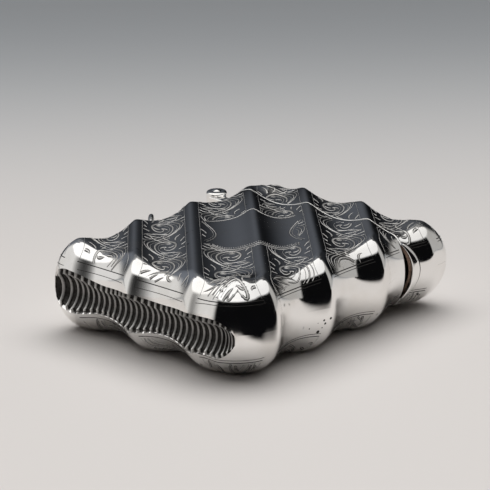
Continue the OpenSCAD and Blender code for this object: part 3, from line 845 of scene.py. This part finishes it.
def fieldStrokes(side):
    # the units repeat along every field, turned over every other time; border lines run beside the ribs
    chance, groups = np.random.default_rng(engraving["seed"] + side), {}
    n, across = engraving["fields"], 2 * engraving["half"]
    dash = np.linspace(0, engraving["dash"], engraving["dashPoints"])
    width = np.full(len(dash), engraving["borderWidth"] * engraving["line"])
    for k in range(-n, n):
        for j in range(-n, n + 1):
            flip, start = 1 - 2 * ((j + k) % 2), engraving["unit"] * (j + engraving["shift"] * (k % 3))
            for a, v, w in scrollUnit(chance):
                groups.setdefault(len(a), []).append((a + start, k + 0.5 + flip * v / across, w))
        for s in np.arange(-engraving["reach"], engraving["reach"], engraving["dash"]):
            for v in (-engraving["border"], engraving["border"]):
                u = np.full(len(dash), k + 0.5 + v / across)
                groups.setdefault(len(dash), []).append((s + dash, u, width))
    for group in groups.values():
        s, u, w = np.stack(group, 1)
        x, y = fieldPoint(s, u, side)
        yield x, y, w, offMiddle(u) < engraving["border"] + engraving["slack"]


def rimStrokes(side):
    # broken at the rib bands; t runs along each side, and the outer line stands further off at the ends
    for row, width in enumerate(rim["widths"]):
        dx, dy = flatX + rim["out"] + row * rim["gap"], flatY + rim["out"] + row * rim["gap"]
        for fx, fy in ((-1, 0), (1, 0), (0, -1), (0, 1)):
            span = dy if fx else dx
            t = np.arange(-span, span - 0.01, rim["piece"])[:, None] + np.linspace(0, rim["piece"], 4)[None]
            t = np.minimum(t, span)
            wider = row * (rim["endGap"] - rim["gap"]) * smooth01((rim["wideFrom"] - t * fx) / rim["wideRun"])
            x, y = (fx * (dx + wider), t) if fx else (t, np.full_like(t, fy * dy))
            yield x, y, np.full_like(t, width), offMiddle(phaseOf(*planPoint(x, y), side)) < rim["half"]


def reserveEdge(q):
    # lower and upper outline of the reserve, each with a small point in the middle
    point = np.exp(-(q / reserve["pointWidth"]) ** 2)
    curl = reserve["lowCurl"] * (np.abs(q) / reserve["lowHalf"]) ** 4
    fall = np.where(q < 0, reserve["highFall"] * (np.abs(q) / reserve["highHalf"]) ** 3, 0.0)
    return (reserve["low"] - reserve["lowPoint"] * point + curl,
            reserve["high"] + reserve["highPoint"] * point - fall)


def reserveSide(t):
    # the C-scrolls bulge inwards
    return reserve["side"] - reserve["bulge"] * np.sin(np.pi * t)


def outsideReserve(x, y):
    s, q = (x + y) / rootTwo, (x - y) / rootTwo
    low, high = reserveEdge(np.clip(q, -reserve["highHalf"], reserve["farSide"]))
    beside = reserveSide(np.clip((s - reserve["sideFrom"]) / reserve["sideRun"], 0, 1)) + reserve["clear"]
    return (np.abs(q) > beside) | (s < low - reserve["clear"]) | (s > high + reserve["topClear"])


def reserveStrokes():
    # outline lines, two C-scrolls of two lines each, and a row of beads inside the lower outline
    t = np.linspace(0, 1, reserve["points"])
    q = reserve["span"] * (2 * t - 1)
    low, high = reserveEdge(q)
    lines = [(low, q, reserve["width"]), (low - reserve["underGap"], q, reserve["underWidth"]),
             (high, q * reserve["topSpan"], reserve["width"])]
    for hand in (-1, 1):
        for off, w in reserve["sideLines"]:
            lines.append((reserve["sideFrom"] + reserve["sideRun"] * t, hand * (reserveSide(t) + off), w))
    for s, q, w in lines:
        x, y = slantPoint(s, q, 1)
        yield x[None], y[None], np.full((1, len(t)), w), np.full((1, len(t)), True)
    across = np.linspace(-1, 1, reserve["beadPoints"])[None]
    q = np.linspace(-1, 1, reserve["beads"])[:, None] * reserve["beadSpan"] + reserve["beadHalf"] * across
    x, y = slantPoint(reserveEdge(q)[0] + reserve["beadIn"], q, 1)
    yield x, y, reserve["beadWidth"] * np.sqrt(1.01 - across ** 2) + 0 * q, np.full(q.shape, True)


def seamStrokes():
    # a bright line beside the hairline, from the crescent cut over the face to the hinge
    low, high = edgeLine["lowEnd"] - flatY - rim["out"], flatY + edgeLine["highEnd"]
    t = np.linspace(low, high, edgeLine["points"])[None]
    x, w = np.full_like(t, lidX + edgeLine["at"]), np.full_like(t, edgeLine["width"])
    yield x, t, w, np.full(t.shape, True)


def longestRun(keep, *fields):
    # each stroke is cut to its longest allowed run and spaced out again over the same number of points
    count, n = keep.shape
    run, best, last = np.zeros(count, int), np.zeros(count, int), np.zeros(count, int)
    for k in range(n):
        run = (run + 1) * keep[:, k]
        last, best = np.where(run > best, k, last), np.maximum(best, run)
    good = best >= max(3, n // 4)
    first, size = (last - best + 1)[good], best[good]
    place = first[:, None] + (size - 1)[:, None] * np.linspace(0, 1, n)[None]
    k = np.minimum(place.astype(int), n - 2)
    rows = np.arange(len(first))[:, None]
    return [f[good][rows, k] * (1 - place + k) + f[good][rows, k + 1] * (place - k) for f in fields]


def ribbon(x, y, w, side, flank, ridge):
    # six-sided ribbons: dark edges just under the skin, painted as the cut's shade, a bright ridge between
    # them and a keel below
    h = 0.05  # step for the slope of the skin
    p = facePoint(x, y, side)
    normal = side * np.cross(facePoint(x + h, y, side) - facePoint(x - h, y, side),
                             facePoint(x, y + h, side) - facePoint(x, y - h, side))
    normal /= np.linalg.norm(normal, axis=-1, keepdims=True)
    across = np.cross(normal, np.gradient(p, axis=1))
    across /= np.maximum(np.linalg.norm(across, axis=-1, keepdims=True), tiny)
    half = across * w[..., None] * flank / 2
    top = p + normal * np.minimum(engraving["rise"], engraving["steepest"] * w)[..., None]
    sunk = p - normal * engraving["sink"]
    shoulder = (top + sunk) / 2
    ring = np.stack([sunk + half, shoulder + half * ridge, top, shoulder - half * ridge, sunk - half,
                     p - normal * engraving["deep"]], 2)
    index = numbered(ring)
    after = np.roll(index, -1, axis=2)
    sides = np.stack([index[:, :-1], after[:, :-1], after[:, 1:], index[:, 1:]], -1).reshape(-1, 4)
    dark = np.broadcast_to([1, 0, 0, 1, 1, 1], index[:, 1:].shape).ravel()
    dark = np.concatenate([dark, np.ones(4 * len(index))])
    caps = [index[:, 0, [3, 2, 1, 0]], index[:, 0, [5, 4, 3, 0]],
            index[:, -1, [0, 1, 2, 3]], index[:, -1, [0, 3, 4, 5]]]
    return ring.reshape(-1, 3), np.concatenate([sides, *caps]), dark


def allowed(kind, x, y, keep, side):
    # strokes keep clear of the lid line, the hinge, the rim lines and the reserve
    px, py = planPoint(x, y)
    fromSeam = np.abs(px - lidX)
    if kind != "seam":
        keep = keep & (fromSeam > engraving["seamGap"])
        keep &= (fromSeam > engraving["hingeGap"]) | (py < engraving["hingeFrom"])
    if kind == "field":
        out = rim["out"] - rim["clear"]
        keep &= (np.abs(x) < flatX + out) & (np.abs(y) < flatY + out)
        if side > 0:
            keep &= outsideReserve(x, y)
    return {"case_body": keep & (px < lidX), "lid": keep & (px > lidX)}


def makeEngraving(side, bodyName, lidName):
    # finishes: 0 the bright cut, 1 its dark flanks and the rim lines, both painted shade of the cuts, 2 the
    # lid's worn edge
    sources = [("field", fieldStrokes(side)), ("rim", rimStrokes(side)), ("seam", seamStrokes())]
    if side > 0:
        sources.append(("reserve", reserveStrokes()))
    parts = {"case_body": [], "lid": []}
    for kind, strokes in sources:
        shape = edgeLine if kind == "seam" else engraving
        for x, y, w, keep in strokes:
            for body, kept in allowed(kind, x, y, keep, side).items():
                cut = longestRun(kept, x, y, w)
                if len(cut[0]):
                    points, faces, dark = ribbon(*cut, side, shape["flank"], shape["ridge"])
                    # rim lines are wholly painted shade; the seam's dark flanks are a painted shadow line
                    # beside its bright ridge
                    chosen = {"rim": np.ones(len(dark)), "seam": 2 - dark}.get(kind, dark)
                    parts[body].append((points, faces, chosen))
    for body, name in (("case_body", bodyName), ("lid", lidName)):
        points, faces, chosen = zip(*parts[body])
        starts = np.cumsum([0] + [len(p) for p in points[:-1]])
        faces = np.concatenate([f + n for f, n in zip(faces, starts)])
        piece = makePiece(name, np.concatenate(points), [faces], cutSilver, body, smooth=False)
        moreFinishes(piece, np.concatenate(chosen), grooveShadeAndTarnish, edgeSilver)


makeEngraving(1, "engravingFrontBody", "engravingFrontLid")
makeEngraving(-1, "engravingBackBody", "engravingBackLid")

# camera: angles in radians, focal length in pixels, place in millimetres, clipping in metres
view = dict(turn=0.82635, tilt=0.32207, roll=-0.01064, focal=2110.88, pixels=490, sensor=36.0,
            place=(-228.28749, -208.63796, 114.7525), nearest=0.01, farthest=20.0)
toCamera = (-math.sin(view["turn"]), -math.cos(view["turn"]), 0.0)
toRight = (math.cos(view["turn"]), -math.sin(view["turn"]), 0.0)
degrees = 180 / math.pi

# what lies between these angles, left of the camera, goes over from a pale wall to the dark camera side
leftTurn = (-73, -42)

# floor: lengths in millimetres; its tone fades from near to far, and from warm to cool
floor = dict(reach=1500.0, cells=40, nearTone=0.618, farTone=0.1665, fadeAt=126.3, fadeRun=42.5,
             fadeFrom=-62.0, fadeTo=234.0, fadeStops=16, coolAt=0.218, warmAt=0.584,
             warm=(0.035, -0.012, -0.04), cool=(-0.045, 0.0, 0.05), darkFrom=46.0, darkNearer=21.0,
             darkRun=13.0, softIn=-3.0, softOut=12.0, darkTone=(0.003, 0.003, 0.0035), rough=0.6, shine=0.2,
             speck=900.0, bump=0.04, bumpDepth=0.2)


def floorStops():
    # the tone falls along an S-curve with the distance from the camera
    share = np.linspace(0, 1, floor["fadeStops"])
    away = floor["fadeFrom"] + (floor["fadeTo"] - floor["fadeFrom"]) * share
    fall = 1 / (1 + np.exp((away - floor["fadeAt"]) / floor["fadeRun"]))
    tone = floor["farTone"] + (floor["nearTone"] - floor["farTone"]) * fall
    warmth = np.clip((tone - floor["coolAt"]) / (floor["warmAt"] - floor["coolAt"]), 0, 1)[:, None]
    tint = 1 + warmth * np.array(floor["warm"]) + (1 - warmth) * np.array(floor["cool"])
    return list(zip(share.tolist(), (tone[:, None] * tint).tolist()))


def floorFinish():
    # pale table; what the silver mirrors of it turns dark some way in front of the case
    material, tree, shader, place = newFinish("pale_table")
    near, side = place.dot(toCamera), place.dot(toRight)
    away = (near / -mm - floor["fadeFrom"]) / (floor["fadeTo"] - floor["fadeFrom"])
    colour = Wire.node(tree, "ShaderNodeValToRGB", {"stops": floorStops()}, {"Fac": away})
    grain = relief(noise(place, floor["speck"], 3.0), floor["bump"], floor["bumpDepth"])
    feed(shader, {"Base Color": colour, "Normal": grain})
    shader.inputs["Roughness"].default_value = floor["rough"]
    shader.inputs["Specular IOR Level"].default_value = floor["shine"]
    mirrored = Wire.node(tree, "ShaderNodeLightPath", out="Is Glossy Ray")
    limit = floor["darkFrom"] * mm - side.step(0.0, floor["darkRun"] * mm) * (floor["darkNearer"] * mm)
    beyond = (near - limit).step(floor["softIn"] * mm, floor["softOut"] * mm)
    gone = mirrored * beyond * (side.math("ARCTAN2", near) * degrees).step(*leftTurn)
    dark = Wire.node(tree, "ShaderNodeEmission", None, {"Color": (*floor["darkTone"], 1), "Strength": 1.0})
    both = Wire.node(tree, "ShaderNodeMixShader", None, {0: gone, 1: Wire(shader.outputs[0]), 2: dark})
    feed(next(n for n in tree.nodes if n.type == "OUTPUT_MATERIAL"), {"Surface": both})
    return material


def makeFloor():
    # flat grid
    t = np.linspace(-floor["reach"], floor["reach"], floor["cells"] + 1)
    x, y = np.meshgrid(t, t, indexing="ij")
    points = np.stack([x, y, 0 * x], -1)
    mesh = bpy.data.meshes.new("floor")
    mesh.from_pydata((points * mm).reshape(-1, 3).tolist(), [], gridFaces(numbered(points)).tolist())
    ground = bpy.data.objects.new("floor", mesh)
    scene.collection.objects.link(ground)
    mesh.materials.append(floorFinish())
    print("floor laid")


makeFloor()

# surroundings, with angles in degrees; near is the camera's side, far the other
studio = dict(lamp=2.83, lean=2.6, leanFrom=0.6, least=0.04, lampTint=(1.0, 0.995, 0.985), lampLow=30,
              lampHigh=36, lampFar=28.0, lampWide=12.0, mirrored=1.05, tilt=0.24, wallShare=0.2,
              leftTone=(0.72, 0.7128, 0.702), rightTone=(0.42, 0.4137, 0.4032), rightTurn=(80, 84),
              darkTone=(0.003, 0.003, 0.0033), farLevel=0.065, farTint=(0.92, 1.0, 1.16),
              farTurn=(116, 132), farLow=5.0, farHigh=19.0, farFoot=0.15, farLean=2.4, farLeast=0.25,
              sky=(0.4074, 0.42, 0.4326))


def makeStudio():
    # what the silver mirrors: a light overhead, a dark far side, a dark camera side, walls left and right
    world = bpy.data.worlds.new("studio")
    scene.world = world
    world.use_nodes = True
    tree = world.node_tree
    tree.nodes.clear()
    ray = Wire.node(tree, "ShaderNodeTexCoord", out="Generated")
    glossy = Wire.node(tree, "ShaderNodeLightPath", out="Is Glossy Ray")
    seen = Wire.node(tree, "ShaderNodeLightPath", out="Is Camera Ray")
    near, side, up = ray.dot(toCamera), ray.dot(toRight), ray.dot((0.0, 0.0, 1.0))
    azimuth = side.math("ARCTAN2", near) * degrees
    height = up.math("ARCSINE") * degrees
    far = azimuth.math("ABSOLUTE").step(*studio["farTurn"])
    wall = azimuth.step(*studio["rightTurn"]).mix(studio["darkTone"], studio["rightTone"])
    wall = (1 - azimuth.step(*leftTurn)).mix(wall, studio["leftTone"])
    rise = height.step(studio["farLow"], studio["farHigh"]) * (1 - studio["farFoot"]) + studio["farFoot"]
    depth = rise * (1.0 - side * studio["farLean"]).math("MAXIMUM", studio["farLeast"]) * studio["farLevel"]
    wall = far.mix(wall, depth.tinted(studio["farTint"]))
    wall = (glossy * (1 - studio["wallShare"]) + studio["wallShare"]).mix((0.0, 0.0, 0.0), wall)
    above = height - far * glossy * studio["lampFar"] - (1 - glossy) * studio["lampWide"]
    lit = (studio["leanFrom"] - near * studio["lean"]).math("MAXIMUM", studio["least"]) * studio["lamp"]
    level = lit * (1 - glossy) + (studio["mirrored"] - side * studio["tilt"]) * glossy
    light = above.step(studio["lampLow"], studio["lampHigh"]).mix(wall, level.tinted(studio["lampTint"]))
    shown = seen.mix(light, studio["sky"])
    back = Wire.node(tree, "ShaderNodeBackground", None, {"Color": shown, "Strength": 1.0})
    feed(Wire.node(tree, "ShaderNodeOutputWorld"), {"Surface": back})
    print("studio set")


makeStudio()


def makeCamera():
    # turned about Z, tilted down, then rolled about its own axis
    a, p, w = view["turn"], view["tilt"], view["roll"]
    right = np.array([math.cos(a), -math.sin(a), 0])
    forward = np.array([math.sin(a) * math.cos(p), math.cos(a) * math.cos(p), -math.sin(p)])
    up = np.array([math.sin(a) * math.sin(p), math.cos(a) * math.sin(p), math.cos(p)])
    lens = bpy.data.cameras.new("photoCamera")
    lens.sensor_width = view["sensor"]
    lens.lens = view["sensor"] * view["focal"] / view["pixels"]
    lens.clip_start, lens.clip_end = view["nearest"], view["farthest"]
    camera = bpy.data.objects.new("photoCamera", lens)
    scene.collection.objects.link(camera)
    pose = np.eye(4)
    pose[:3, 0] = right * math.cos(w) + up * math.sin(w)
    pose[:3, 1] = up * math.cos(w) - right * math.sin(w)
    pose[:3, 2] = -forward
    pose[:3, 3] = np.array(view["place"]) * mm
    camera.matrix_world = Matrix(pose.tolist())
    scene.camera = camera
    print("camera placed")


makeCamera()
scene.view_settings.view_transform = "Standard"
